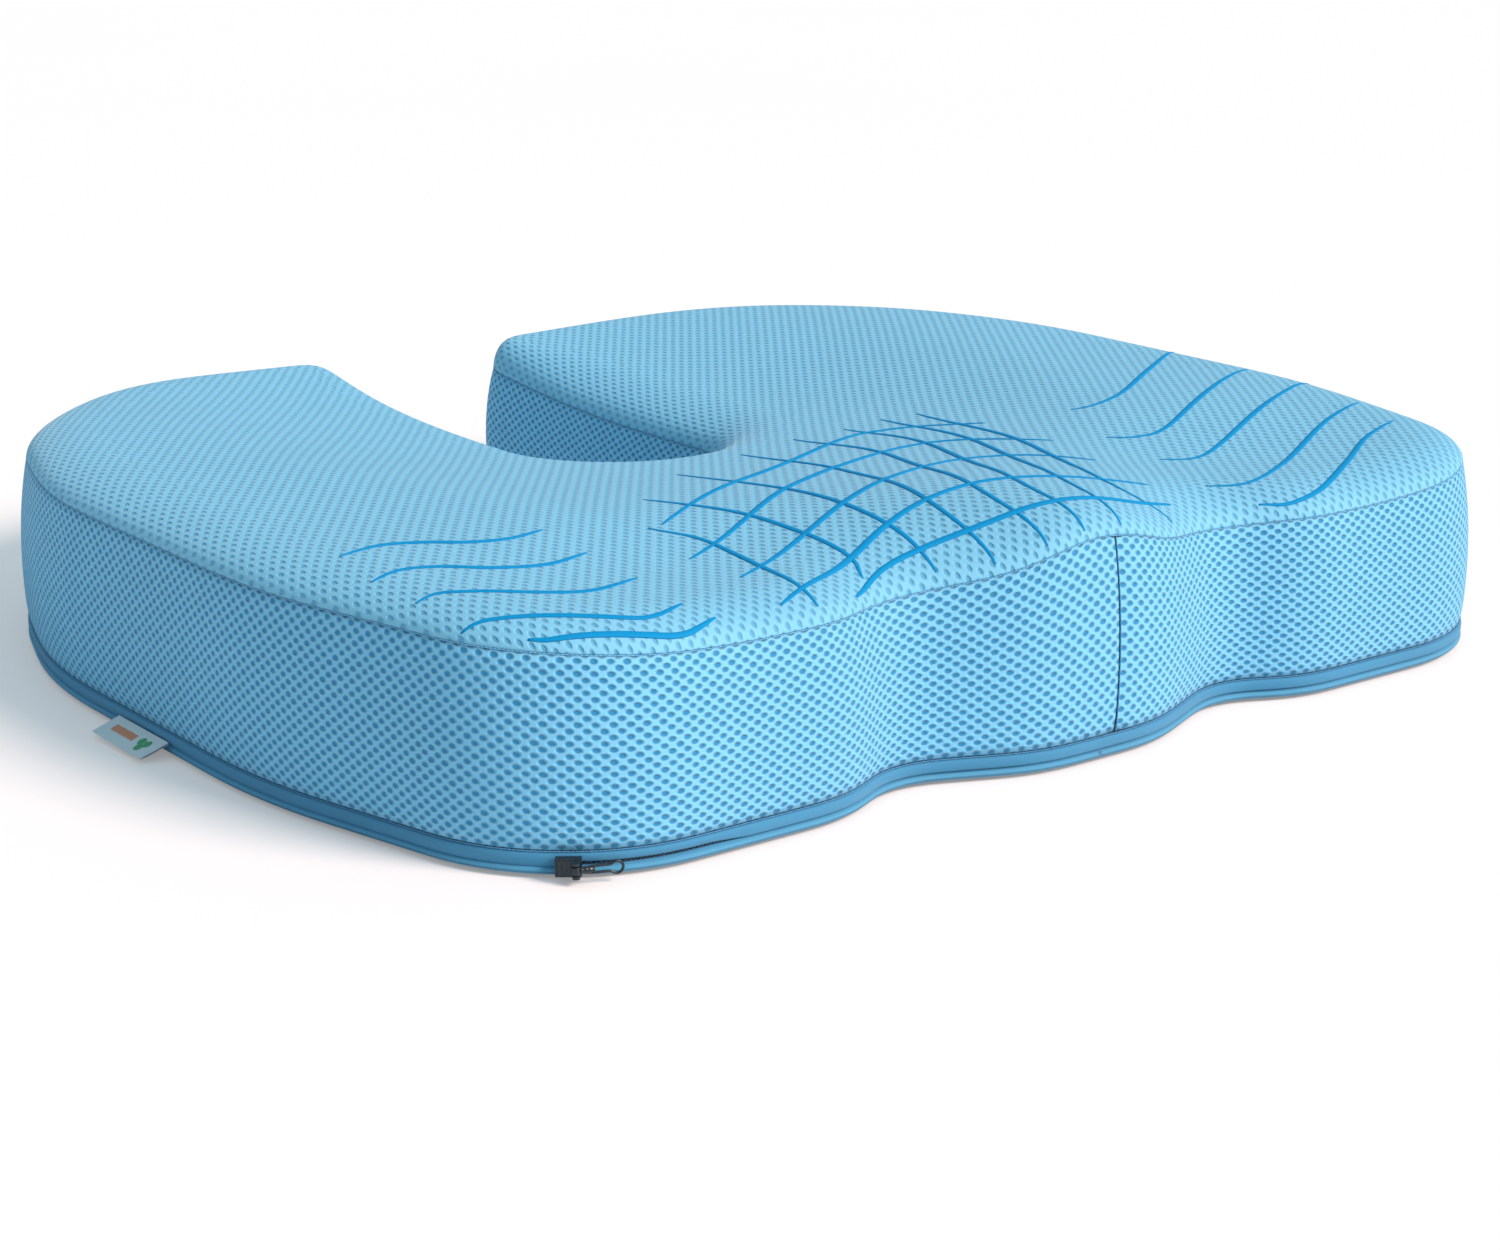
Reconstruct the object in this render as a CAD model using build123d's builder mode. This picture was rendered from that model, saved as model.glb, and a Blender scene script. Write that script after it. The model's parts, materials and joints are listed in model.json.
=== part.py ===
from build123d import *
from math import atan2, ceil, cos, degrees, radians, sin, tan
import os

# U-shaped seat cushion: a moulded foam block inside a zipped mesh cover.
# Millimetres. The front edge faces -Y, the tailbone cut-out opens at +Y and +Z is up.
# The origin is on the supporting plane, under the middle of the cushion.

# Overall size
width = 450.0
depth = 413.0
height = 78.0

# Plan outline, right half, measured from the front edge and the middle plane
bump_half = 24.0
scallop_x = 68.0
scallop_depth = 19.5
lobe_x = 94.0
lobe_setback = 4.5
corner_taper = 28.0
side_start = 120.0
rear_taper = 49.0
rear_start = 150.0
notch_width = 66.0
notch_depth = 187.0
bump_radius = 60.0
scallop_radius = 30.0
lobe_radius = 50.0
corner_radius = 60.0
side_radius = 250.0
rear_side_radius = 200.0
rear_radius = 150.0
mouth_radius = 18.0
notch_radius = 30.0

# Levels of the seams
seam_height = 64.0
strip_height = 7.6
seam_thread = 0.8

# Contour of the top
dish_depth = 20.0
dish_span = 400.0
dish_y = 75.0
groove_x = 80.0
groove_depth = 6.0
groove_radius = 120.0
groove_length = 230.0

# Cover
mesh_thickness = 3.0
base_thickness = 1.2
dot_height = 1.2
dot_radius = 4.0
dot_pitch = 28.0
dot_margin = 9.0
piping_size = 2.2
piping_round = 1.0
seam_inset = 0.6
seam_depth = 1.8
front_seam_x = 6.0
rear_seam_x = 100.0
notch_surround = 20.0
piping_relief = 0.5

# Zip
tape_inset = 0.6
tape_thickness = 0.8
lower_tape_height = 0.5
coil_height = 1.3
coil_depth = 1.6
slider_angle = 234.0
slider_length = 7.0
slider_height = 5.5
slider_thickness = 3.0
slider_clearance = 0.4
shoe_depth = 0.6
rib_count = 3
rib_pitch = 1.3
rib_width = 0.7
rib_depth = 0.5
stop_length = 1.6
stop_gap = 0.2

# Zip pull
pin_radius = 0.5
pin_offset = 2.0
pin_standoff = 1.8
lug_thickness = 0.8
lug_radius = 1.1
pull_clearance = 0.3
pull_length = 13.5
pull_thickness = 1.0
strand_width = 0.8
ring_radius = 2.0
pull_tilt = 15.0

# Side label
label_width = 34.0
label_length = 10.0
label_thickness = 0.7
label_setback = 191.5
label_gap = 0.8
label_root = 5.0
label_slope = 22.0

# Levels worked out from the sizes above
front = -depth / 2
rear = depth / 2
corner_x = width / 2 - corner_taper
lobe_y = front + lobe_setback
side_y = front + side_start
label_y = front + label_setback
base_top = dot_height + base_thickness
piping_top = dot_height + piping_size
coil_bottom = piping_top + lower_tape_height
coil_top = coil_bottom + coil_height
band_bottom = strip_height + seam_thread
shoulder_radius = height - seam_height
dish_radius = (dish_depth**2 + (dish_span / 2) ** 2) / (2 * dish_depth)
dish_centre = (0, dish_y, height - dish_depth + dish_radius)
notch_end = rear - notch_depth

half_plan = [
    (0, front),
    (bump_half, front),
    (scallop_x, front + scallop_depth),
    (lobe_x, lobe_y),
    (corner_x, lobe_y),
    (width / 2, side_y),
    (width / 2, rear - rear_start),
    (width / 2 - rear_taper, rear),
    (notch_width / 2, rear),
    (notch_width / 2, notch_end),
    (0, notch_end),
]
plan_radii = [
    bump_radius,
    scallop_radius,
    lobe_radius,
    corner_radius,
    side_radius,
    rear_side_radius,
    rear_radius,
    mouth_radius,
    notch_radius,
]


def outline(inset):
    """The plan of the cushion, moved in by inset."""
    with BuildSketch() as plan:
        with BuildLine():
            FilletPolyline(*half_plan, radius=plan_radii)
            mirror(about=Plane.YZ)
        make_face()
        if inset > 0:
            offset(amount=-inset)
    return plan.sketch


def ring(outer_inset, inner_inset):
    """A strip that follows the plan, between two insets."""
    with BuildSketch() as strip:
        add(outline(outer_inset))
        add(outline(inner_inset), mode=Mode.SUBTRACT)
    return strip.sketch


def blank(inset):
    """The contoured block, moved in by inset on its sides and top."""
    with BuildPart() as block:
        with BuildSketch(Plane.XY.offset(base_top)):
            add(outline(inset))
        extrude(amount=height - inset - base_top)
        fillet(block.edges().group_by(Axis.Z)[-1], shoulder_radius - inset)
        with Locations(dish_centre):
            Sphere(dish_radius + inset, mode=Mode.SUBTRACT)
        for side in (-1, 1):
            start = (side * groove_x, front, height - groove_depth + groove_radius)
            run = (0, groove_length, groove_depth)
            with BuildSketch(Plane(origin=start, x_dir=(1, 0, 0), z_dir=run)):
                Circle(groove_radius + inset)
            extrude(amount=groove_length, both=True, mode=Mode.SUBTRACT)
    return block.part


def below_seam(plan, bottom, rise):
    """A plan raised from one level to the top seam, or to rise above it. The seam dips with the dish."""
    with BuildPart() as block:
        with BuildSketch(Plane.XY.offset(bottom)):
            add(plan)
        extrude(amount=seam_height + rise - bottom)
        with Locations(dish_centre):
            Sphere(dish_radius + shoulder_radius - rise, mode=Mode.SUBTRACT)
    return block.part


def finish(piece, label):
    """Name a piece and write it out."""
    piece.label = label
    export_step(piece, f"parts/{label}.step")


os.makedirs("parts", exist_ok=True)

# Foam block, in one moulded piece
with BuildPart() as foam_core:
    add(blank(mesh_thickness))
    with BuildSketch(Plane.XY.offset(base_top)):
        add(ring(0, piping_size + piping_relief))
    extrude(amount=piping_size - base_thickness, mode=Mode.SUBTRACT)
finish(foam_core.part, "foam_core")

with BuildSketch() as whole_plan:
    Rectangle(width * 2, depth * 2)

# Top panel of the cover: the contoured top with its rounded shoulder, down to the top seam
with BuildPart() as top_panel:
    add(blank(0))
    add(below_seam(whole_plan.sketch, 0, seam_thread / 2), mode=Mode.SUBTRACT)
    add(foam_core.part, mode=Mode.SUBTRACT)
finish(top_panel.part, "top_panel")

# Where the side band is joined: once at the front and once at each rear corner
notch_front = notch_end - notch_surround
notch_span = notch_depth + 2 * notch_surround
notch_middle = notch_front + notch_span / 2
with BuildSketch() as front_join:
    with Locations((front_seam_x, front + side_start / 2)):
        Rectangle(seam_thread, side_start)
with BuildSketch() as rear_joins:
    with Locations((-rear_seam_x, notch_middle), (rear_seam_x, notch_middle)):
        Rectangle(seam_thread, notch_span)
with BuildSketch() as notch_region:
    with Locations((0, notch_middle)):
        Rectangle(rear_seam_x * 2, notch_span)
with BuildSketch() as left_region:
    with Locations(((front_seam_x - width) / 2, 0)):
        Rectangle(front_seam_x + width, depth * 2)
    add(notch_region.sketch, mode=Mode.SUBTRACT)
with BuildSketch() as right_region:
    with Locations(((front_seam_x + width) / 2, 0)):
        Rectangle(width - front_seam_x, depth * 2)
    add(notch_region.sketch, mode=Mode.SUBTRACT)


def side_band(region):
    """The length of side band that lies in one region of the plan."""
    with BuildSketch() as plan:
        add(ring(0, mesh_thickness))
        add(region, mode=Mode.INTERSECT)
        add(front_join.sketch, mode=Mode.SUBTRACT)
        add(rear_joins.sketch, mode=Mode.SUBTRACT)
    return below_seam(plan.sketch, band_bottom, -seam_thread / 2)


def upright_seam(joins):
    """The thread in the upright joins of the side band."""
    with BuildSketch() as plan:
        add(ring(seam_inset, seam_inset + seam_depth))
        add(joins, mode=Mode.INTERSECT)
    return below_seam(plan.sketch, band_bottom, -seam_thread / 2)


# Side band in three lengths
with BuildPart() as band_left:
    add(side_band(left_region.sketch))
finish(band_left.part, "band_left")

with BuildPart() as band_right:
    add(side_band(right_region.sketch))
finish(band_right.part, "band_right")

with BuildPart() as band_notch:
    add(side_band(notch_region.sketch))
finish(band_notch.part, "band_notch")

# Seams: thread that shows in the groove between two panels
with BuildPart() as top_seam:
    seam_ring = ring(seam_inset, seam_inset + seam_depth)
    add(below_seam(seam_ring, band_bottom, seam_thread / 2))
    add(below_seam(whole_plan.sketch, 0, -seam_thread / 2), mode=Mode.SUBTRACT)
finish(top_seam.part, "top_seam")

with BuildPart() as base_seam:
    with BuildSketch(Plane.XY.offset(strip_height)):
        add(ring(seam_inset, seam_inset + seam_depth))
    extrude(amount=seam_thread)
finish(base_seam.part, "base_seam")

with BuildPart() as front_seam:
    add(upright_seam(front_join.sketch))
finish(front_seam.part, "front_seam")

with BuildPart() as rear_seams:
    add(upright_seam(rear_joins.sketch))
finish(rear_seams.part, "rear_seams")

# Bottom panel: non-slip fabric with moulded dots, which are what the cushion stands on
with BuildPart() as bottom_panel:
    with BuildSketch(Plane.XY.offset(dot_height)):
        add(outline(piping_size))
    extrude(amount=base_thickness)
    dots_across = 2 * ceil(width / 2 / dot_pitch) + 1
    dots_deep = 2 * ceil(depth / 2 / dot_pitch) + 1
    with BuildSketch():
        with GridLocations(dot_pitch, dot_pitch, dots_across, dots_deep):
            Circle(dot_radius)
        add(outline(dot_margin), mode=Mode.INTERSECT)
    extrude(amount=dot_height)
finish(bottom_panel.part, "bottom_panel")

# Piping round the bottom edge
with BuildPart() as piping:
    with BuildSketch(Plane.XY.offset(dot_height)):
        add(ring(0, piping_size))
    extrude(amount=piping_size)
    fillet(piping.edges().group_by(Axis.Z)[-1] + piping.edges().group_by(Axis.Z)[0], piping_round)
finish(piping.part, "piping")

# The zip runs from the front left corner along the front and the right side.
# The rest of the bottom edge has a plain strip instead.
corner_turn = radians(90) - atan2(corner_taper, side_y - lobe_y)
corner_centre_x = -(corner_x - corner_radius * tan(corner_turn / 2))
corner_centre_y = lobe_y + corner_radius
slider_half_angle = degrees(slider_length / 2 / corner_radius)
stop_angle = degrees(stop_length / corner_radius)
coil_start = slider_angle - slider_half_angle
zip_start = coil_start - 2 * stop_angle


def corner_point(distance, angle):
    """A point at a distance and an angle about the centre of the front left corner."""
    turn = radians(angle)
    return (corner_centre_x + distance * cos(turn), corner_centre_y + distance * sin(turn))


def beyond(angle):
    """The region of the plan that has the plain strip, if the zip began at this angle."""
    with BuildSketch() as region:
        with BuildLine():
            Polyline(
                corner_point(0, angle),
                corner_point(width, angle),
                (-width, depth),
                (rear_seam_x, depth),
                (rear_seam_x, notch_front),
                close=True,
            )
        make_face()
    return region.sketch


with BuildPart() as upper_zip_tape:
    with BuildSketch(Plane.XY.offset(coil_top)):
        add(ring(tape_inset, tape_inset + tape_thickness))
        add(beyond(zip_start), mode=Mode.SUBTRACT)
    extrude(amount=strip_height - coil_top)
finish(upper_zip_tape.part, "upper_zip_tape")

with BuildPart() as lower_zip_tape:
    with BuildSketch(Plane.XY.offset(piping_top)):
        add(ring(tape_inset, tape_inset + tape_thickness))
        add(beyond(zip_start), mode=Mode.SUBTRACT)
    extrude(amount=lower_tape_height)
finish(lower_zip_tape.part, "lower_zip_tape")

with BuildPart() as plain_strip:
    with BuildSketch(Plane.XY.offset(piping_top)):
        add(ring(tape_inset, tape_inset + tape_thickness))
        add(beyond(zip_start), mode=Mode.INTERSECT)
    extrude(amount=strip_height - piping_top)
finish(plain_strip.part, "plain_strip")

# The coil stops short of the rear seam by the length of the end stop
with BuildSketch() as end_stop_region:
    with Locations((rear_seam_x + stop_length / 2, notch_middle)):
        Rectangle(stop_length, notch_span)

with BuildPart() as zip_coil:
    with BuildSketch(Plane.XY.offset(coil_bottom)):
        add(ring(tape_inset, tape_inset + coil_depth))
        add(beyond(coil_start), mode=Mode.SUBTRACT)
        add(end_stop_region.sketch, mode=Mode.SUBTRACT)
    extrude(amount=coil_height)
finish(zip_coil.part, "zip_coil")

with BuildPart() as zip_end_stop:
    with BuildSketch(Plane.XY.offset(coil_bottom)):
        add(ring(tape_inset, tape_inset + coil_depth))
        add(end_stop_region.sketch, mode=Mode.INTERSECT)
    extrude(amount=coil_height)
finish(zip_end_stop.part, "zip_end_stop")

# Two top stops, one on each tape, at the closed end of the coil
with BuildPart() as zip_top_stops:
    for level in (coil_bottom, coil_top - (coil_height - stop_gap) / 2):
        with BuildSketch(Plane.XY.offset(level)):
            add(ring(tape_inset, tape_inset + coil_depth))
            add(beyond(coil_start - stop_angle / 2), mode=Mode.INTERSECT)
            add(beyond(coil_start - 1.5 * stop_angle), mode=Mode.SUBTRACT)
        extrude(amount=(coil_height - stop_gap) / 2)
finish(zip_top_stops.part, "zip_top_stops")

# Slider: a ribbed body that wraps the corner outside the piping, with a shoe that runs in
# the channel between the piping and the side band, and two lugs that hold the pull's pin
slider_inner = corner_radius + slider_clearance
slider_outer = slider_inner + slider_thickness
slider_mid = (coil_bottom + coil_top) / 2
slider_low = slider_mid - slider_height / 2
slider_high = slider_mid + slider_height / 2
shoe_inner = slider_inner - shoe_depth
shoe_outer = slider_inner + slider_thickness / 2
shoe_low = piping_top + slider_clearance
shoe_high = slider_high - slider_thickness / 4
lug_reach = pin_standoff + 2 * rib_depth
pin_distance = slider_outer + pin_standoff
pin_angle = slider_angle + degrees(pin_offset / corner_radius)
pin_x, pin_y = corner_point(pin_distance, pin_angle)
corner_axis = Axis((corner_centre_x, corner_centre_y, 0), (0, 0, 1))


def radial_plane(angle):
    """Upright plane through the corner's axis, with x outwards and y up."""
    outwards = (cos(radians(angle)), sin(radians(angle)), 0)
    across = (sin(radians(angle)), -cos(radians(angle)), 0)
    return Plane(origin=(corner_centre_x, corner_centre_y, 0), x_dir=outwards, z_dir=across)


with BuildPart() as zip_slider:
    with BuildSketch(radial_plane(slider_angle - slider_half_angle)):
        with Locations(((slider_inner + slider_outer) / 2, slider_mid)):
            RectangleRounded(slider_thickness, slider_height, slider_thickness / 4)
        with Locations(((shoe_inner + shoe_outer) / 2, (shoe_low + shoe_high) / 2)):
            Rectangle(shoe_outer - shoe_inner, shoe_high - shoe_low)
    revolve(axis=corner_axis, revolution_arc=2 * slider_half_angle)
    for rib in range(rib_count):
        rib_angle = coil_start + degrees((rib + 0.5) * rib_pitch / slider_outer)
        with BuildSketch(Plane.XY.offset(slider_low)):
            with Locations(Location((*corner_point(slider_outer, rib_angle), 0), (0, 0, rib_angle))):
                Rectangle(2 * rib_depth, rib_width)
        extrude(amount=slider_height, mode=Mode.SUBTRACT)
    for level in (slider_low + lug_thickness / 2, slider_high - 1.5 * lug_thickness):
        with BuildSketch(Plane.XY.offset(level)):
            with Locations((pin_x, pin_y)):
                Circle(lug_radius)
            root = corner_point(pin_distance - lug_reach / 2, pin_angle)
            with Locations(Location((*root, 0), (0, 0, pin_angle))):
                Rectangle(lug_reach, 2 * lug_radius)
        extrude(amount=lug_thickness)
    with BuildSketch(Plane.XY.offset(slider_low + lug_thickness)):
        with Locations((pin_x, pin_y)):
            Circle(pin_radius)
    extrude(amount=slider_height - 2 * lug_thickness)
finish(zip_slider.part, "zip_slider")

# Pull: an eye round the pin, two strands, and a ring at the end
pull_low = slider_low + 1.5 * lug_thickness + pull_clearance
pull_high = slider_high - 1.5 * lug_thickness - pull_clearance
pull_width = pull_high - pull_low
eye_radius = pin_radius + pull_clearance
pull_angle = pin_angle + pull_tilt
pull_outwards = (cos(radians(pull_angle)), sin(radians(pull_angle)), 0)
pull_along = (-sin(radians(pull_angle)), cos(radians(pull_angle)), 0)
pull_plane = Plane(
    origin=(pin_x, pin_y, (pull_low + pull_high) / 2), x_dir=pull_along, z_dir=pull_outwards
)

with BuildPart() as zip_pull:
    ring_centre = pull_length - ring_radius
    with BuildSketch(pull_plane):
        with Locations((ring_centre / 2, 0)):
            Rectangle(ring_centre, pull_width)
        with Locations((ring_centre, 0)):
            Circle(ring_radius)
        with Locations((ring_centre, 0)):
            Circle(ring_radius - strand_width, mode=Mode.SUBTRACT)
        slot_end = ring_centre - ring_radius - strand_width
        with Locations((slot_end / 2, 0)):
            Rectangle(slot_end, pull_width - 2 * strand_width, mode=Mode.SUBTRACT)
    extrude(amount=pull_thickness / 2, both=True)
    with BuildSketch(Plane.XY.offset(pull_low)):
        with Locations((pin_x, pin_y)):
            Circle(eye_radius + pull_thickness / 2)
    extrude(amount=pull_width)
    with BuildSketch(Plane.XY.offset(pull_low)):
        with Locations((pin_x, pin_y)):
            Circle(eye_radius)
    extrude(amount=pull_width, mode=Mode.SUBTRACT)
finish(zip_pull.part, "zip_pull")

# Side label: a folded tag that comes out above the piping and slopes down
label_x = -width / 2 - label_gap
label_run = (-cos(radians(label_slope)), 0, -sin(radians(label_slope)))
label_up = (-sin(radians(label_slope)), 0, cos(radians(label_slope)))
with BuildPart() as side_label:
    with BuildSketch(Plane(origin=(label_x, label_y, label_root), x_dir=label_run, z_dir=label_up)):
        with Locations((label_length / 2, 0)):
            Rectangle(label_length, label_width)
    extrude(amount=label_thickness / 2, both=True)
finish(side_label.part, "side_label")

print("corner axis", corner_centre_x, corner_centre_y)
print("pin axis", pin_x, pin_y)
print("label hinge", label_x, label_y, label_root)
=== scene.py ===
import json
from math import atan2, ceil, cos, pi, radians, sin, tan

import bmesh
import bpy
import numpy as np
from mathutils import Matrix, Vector
from mathutils.bvhtree import BVHTree
from mathutils.geometry import delaunay_2d_cdt


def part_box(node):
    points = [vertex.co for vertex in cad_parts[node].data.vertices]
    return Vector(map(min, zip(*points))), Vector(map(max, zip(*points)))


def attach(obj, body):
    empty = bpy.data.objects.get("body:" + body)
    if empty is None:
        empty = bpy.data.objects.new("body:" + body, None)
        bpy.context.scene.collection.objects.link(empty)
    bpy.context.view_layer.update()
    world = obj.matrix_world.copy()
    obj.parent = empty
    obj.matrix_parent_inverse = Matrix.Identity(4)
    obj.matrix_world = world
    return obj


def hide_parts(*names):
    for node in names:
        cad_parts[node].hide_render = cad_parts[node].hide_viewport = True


# A U-shaped seat cushion in a zipped mesh cover. Lengths are in millimetres until a mesh is made.
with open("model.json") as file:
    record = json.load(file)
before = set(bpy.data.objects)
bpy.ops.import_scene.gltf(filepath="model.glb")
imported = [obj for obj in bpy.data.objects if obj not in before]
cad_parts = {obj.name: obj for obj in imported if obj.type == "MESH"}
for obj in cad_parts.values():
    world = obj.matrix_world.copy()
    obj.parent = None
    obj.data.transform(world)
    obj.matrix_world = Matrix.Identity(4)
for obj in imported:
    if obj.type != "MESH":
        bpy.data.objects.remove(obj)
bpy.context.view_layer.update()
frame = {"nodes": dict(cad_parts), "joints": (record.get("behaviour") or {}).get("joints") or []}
MM = 0.001

# Plan of the cushion: the piping runs all the way round it
low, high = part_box("piping")
WIDTH, DEPTH = (high.x - low.x) / MM, (high.y - low.y) / MM
FRONT, REAR = low.y / MM, high.y / MM
LOBE_Y = FRONT + 4.5
NOTCH_HALF, NOTCH_DEPTH = 33.0, 187.0
NOTCH_END = REAR - NOTCH_DEPTH
REAR_CORNER_X = WIDTH / 2 - 49
HALF_PLAN = [  # right half, from the middle of the front edge: corner point, radius
    ((24, FRONT), 60),
    ((68, FRONT + 19.5), 30),
    ((94, LOBE_Y), 50),
    ((WIDTH / 2 - 28, LOBE_Y), 60),
    ((WIDTH / 2, FRONT + 120), 250),
    ((WIDTH / 2, REAR - 150), 200),
    ((REAR_CORNER_X, REAR), 150),
    ((NOTCH_HALF, REAR), 18),
    ((NOTCH_HALF, NOTCH_END), 30),
]
PLAN_SAMPLES = 8192
PLAN_SOFTNESS = 4.0

# The cover: where it is joined, the reach of its rounded shoulder and how far its sides lean in
FRONT_SEAM_X = 6.0
REAR_SEAM_X = 100.0
SHOULDER = 27.0
MOUTH_SHOULDER = 12.0  # reach of the shoulder at the corners of the cut-out's mouth
MOUTH_REACH = 42.0  # length along the edge over which it narrows to that
SEAM_GROOVE = 0.1  # the bands stop this far below the top seam
LEAN = 3.0
BAND_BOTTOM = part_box("band_left")[0].z / MM
STRIP_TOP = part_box("plain_strip")[1].z / MM
STRIP_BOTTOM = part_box("upper_zip_tape")[0].z / MM
COIL_BOTTOM, COIL_TOP = (corner.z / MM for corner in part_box("zip_coil"))
PIPING_BOTTOM, PIPING_TOP = low.z / MM, high.z / MM

# Knit of the cover: centred cells, across and along
SIDE_CELL = (4.8, 3.5)
TOP_CELL = (4.2, 5.8)


def ease(start, end, value):
    """0 before start, 1 after end and smooth between."""
    t = np.clip((value - start) / (end - start), 0, 1)
    return t * t * (3 - 2 * t)


def bump(value, width):
    """1 at zero, falling smoothly to nothing a few widths away."""
    return np.exp(-((value / width) ** 2))


# Heights of the top seam, its rises and drops, and the dish round the cut-out
SEAM_HEIGHT, HUMP_RISE, LOBE_DROP, REAR_DROP, SCALLOP_DIP = 64.6, 10.3, 4.8, 4.8, 1.2
HUMP_WIDTH, HUMP_SPREAD = 34, 26  # half width of the hump at the front edge, and what it gains further in
DISH_HEIGHT, DISH_CROWN = 44.9, 11.9
CROWN, REAR_CROWN = 9.0, 2.4  # rise of the top above its seam, and the extra rise near the rear
GROOVE_X, GROOVE_DEPTH = 95, 2.5  # the two long hollows for the thighs


def dish_share(x, y):
    """1 in the middle of the dish for the tailbone and 0 outside it."""
    return ease(170, 30, np.hypot(x, (y - (REAR - 133)) / 1.35))


def seam_height(x, y):
    """Height of the top seam: raised at the front hump, low on the lobes, dipping into the cut-out."""
    front = ease(FRONT + 125, FRONT + 35, y)
    height = SEAM_HEIGHT - LOBE_DROP * front * ease(215, 120, np.abs(x))
    width = HUMP_WIDTH + HUMP_SPREAD * ease(FRONT + 10, FRONT + 60, y)
    dip = front * ease(FRONT + 60, FRONT + 20, y)
    height = height + HUMP_RISE * front * bump(x, width) - SCALLOP_DIP * dip * bump(np.abs(x) - 70, 16)
    height = height - REAR_DROP * ease(REAR - 130, REAR, y)
    dish = dish_share(x, y)
    return height * (1 - dish) + DISH_HEIGHT * dish


def top_height(x, y):
    """Height of the contoured top."""
    dish = dish_share(x, y)
    crown = CROWN + REAR_CROWN * ease(REAR - 130, REAR, y)
    height = seam_height(x, y) + crown * (1 - dish) + DISH_CROWN * dish
    groove = bump(np.abs(x) - GROOVE_X, 38) * ease(FRONT + 330, FRONT + 150, y)
    return height - GROOVE_DEPTH * groove * ease(FRONT + 20, FRONT + 70, y)


# ---------------------------------------------------------------- plan outline
def from_front(path):
    """The closed path turned to start in the middle of the front edge."""
    first = np.argmin(np.abs(path[:, 0]) + 1000 * (path[:, 1] > FRONT + 60))
    return np.roll(path, -first, axis=0)


def rounded_plan():
    """The closed plan as points, anticlockwise from the middle of the front edge."""
    right = [(np.array(corner, float), radius) for corner, radius in HALF_PLAN]
    left = [(corner * (-1, 1), radius) for corner, radius in right[::-1]]
    stops = right + left
    arcs = []
    for i, (corner, radius) in enumerate(stops):
        back = stops[i - 1][0] - corner
        ahead = stops[(i + 1) % len(stops)][0] - corner
        back, ahead = back / np.linalg.norm(back), ahead / np.linalg.norm(ahead)
        half = np.arccos(np.clip(back @ ahead, -1, 1)) / 2
        centre = corner + (back + ahead) / np.linalg.norm(back + ahead) * radius / sin(half)
        start = corner + back * radius / tan(half) - centre
        end = corner + ahead * radius / tan(half) - centre
        first = atan2(start[1], start[0])
        turn = (atan2(end[1], end[0]) - first + pi) % (2 * pi) - pi
        angles = first + turn * np.linspace(0, 1, max(3, int(abs(turn) * radius)))
        arcs.append(centre + radius * np.stack([np.cos(angles), np.sin(angles)], 1))
    return from_front(np.concatenate(arcs))


def along(path):
    """A closed path with its first point again at the end, and the distance along it at each point."""
    closed = np.vstack([path, path[:1]])
    return closed, np.r_[0, np.cumsum(np.linalg.norm(np.diff(closed, axis=0), axis=1))]


def soft_plan():
    """Evenly spaced points on the plan, with its corners softened."""
    closed, distance = along(rounded_plan())
    even = np.linspace(0, distance[-1], PLAN_SAMPLES, endpoint=False)
    points = np.stack([np.interp(even, distance, closed[:, k]) for k in (0, 1)], 1)
    frequency = np.fft.fftfreq(PLAN_SAMPLES, d=distance[-1] / PLAN_SAMPLES)
    soften = np.exp(-2 * (pi * frequency * PLAN_SOFTNESS) ** 2)
    return np.stack([np.fft.ifft(np.fft.fft(points[:, k]) * soften).real for k in (0, 1)], 1)


PLAN = from_front(soft_plan())
PLAN_CLOSED, PLAN_AT = along(PLAN)
PLAN_LENGTH = PLAN_AT[-1]


def plan_at(distance):
    """Points and outward normals on the plan at distances along it."""
    step = 0.8

    def point(where):
        turn = np.mod(where, PLAN_LENGTH)
        return np.stack([np.interp(turn, PLAN_AT, PLAN_CLOSED[:, k]) for k in (0, 1)], 1)

    turn = np.mod(distance, PLAN_LENGTH)
    way = point(turn + step) - point(turn - step)
    way /= np.linalg.norm(way, axis=1)[:, None]
    return point(turn), np.stack([way[:, 1], -way[:, 0]], 1)


def plan_distance(x, y):
    """Distance along the plan of its point nearest to (x, y)."""
    return PLAN_AT[np.argmin(np.hypot(PLAN[:, 0] - x, PLAN[:, 1] - y))]


FRONT_JOIN = plan_distance(FRONT_SEAM_X, FRONT)
RIGHT_JOIN = plan_distance(REAR_SEAM_X, REAR)
LEFT_JOIN = plan_distance(-REAR_SEAM_X, REAR)
MOUTHS = [plan_distance(side * NOTCH_HALF, REAR) for side in (1, -1)]


def shoulder_width(distance):
    """How far in the rounded shoulder reaches: less at the two tight corners of the cut-out's mouth."""
    width = np.full_like(distance, SHOULDER)
    for mouth in MOUTHS:
        apart = (distance - mouth + PLAN_LENGTH / 2) % PLAN_LENGTH - PLAN_LENGTH / 2
        width = width - (SHOULDER - MOUTH_SHOULDER) * bump(apart, MOUTH_REACH)
    return width


def lean(share):
    """How far the side has leaned in at a share of its height."""
    return LEAN * share**2.5


# ---------------------------------------------------------------- mesh helpers
def strip_faces(rows, columns, closed_columns, closed_rows=False):
    """Four-sided faces between rows of points."""
    last_row = rows if closed_rows else rows - 1
    last_column = columns if closed_columns else columns - 1
    row, column = np.meshgrid(np.arange(last_row), np.arange(last_column), indexing="ij")
    up, on = (row + 1) % rows, (column + 1) % columns
    corners = [row * columns + column, row * columns + on, up * columns + on, up * columns + column]
    return np.stack([c.ravel() for c in corners], 1).tolist()


def section_distance(points):
    """Distance across a swept section at each row, on average."""
    steps = np.linalg.norm(np.diff(points, axis=0), axis=2).mean(1)
    return np.r_[0, np.cumsum(steps)]


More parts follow.
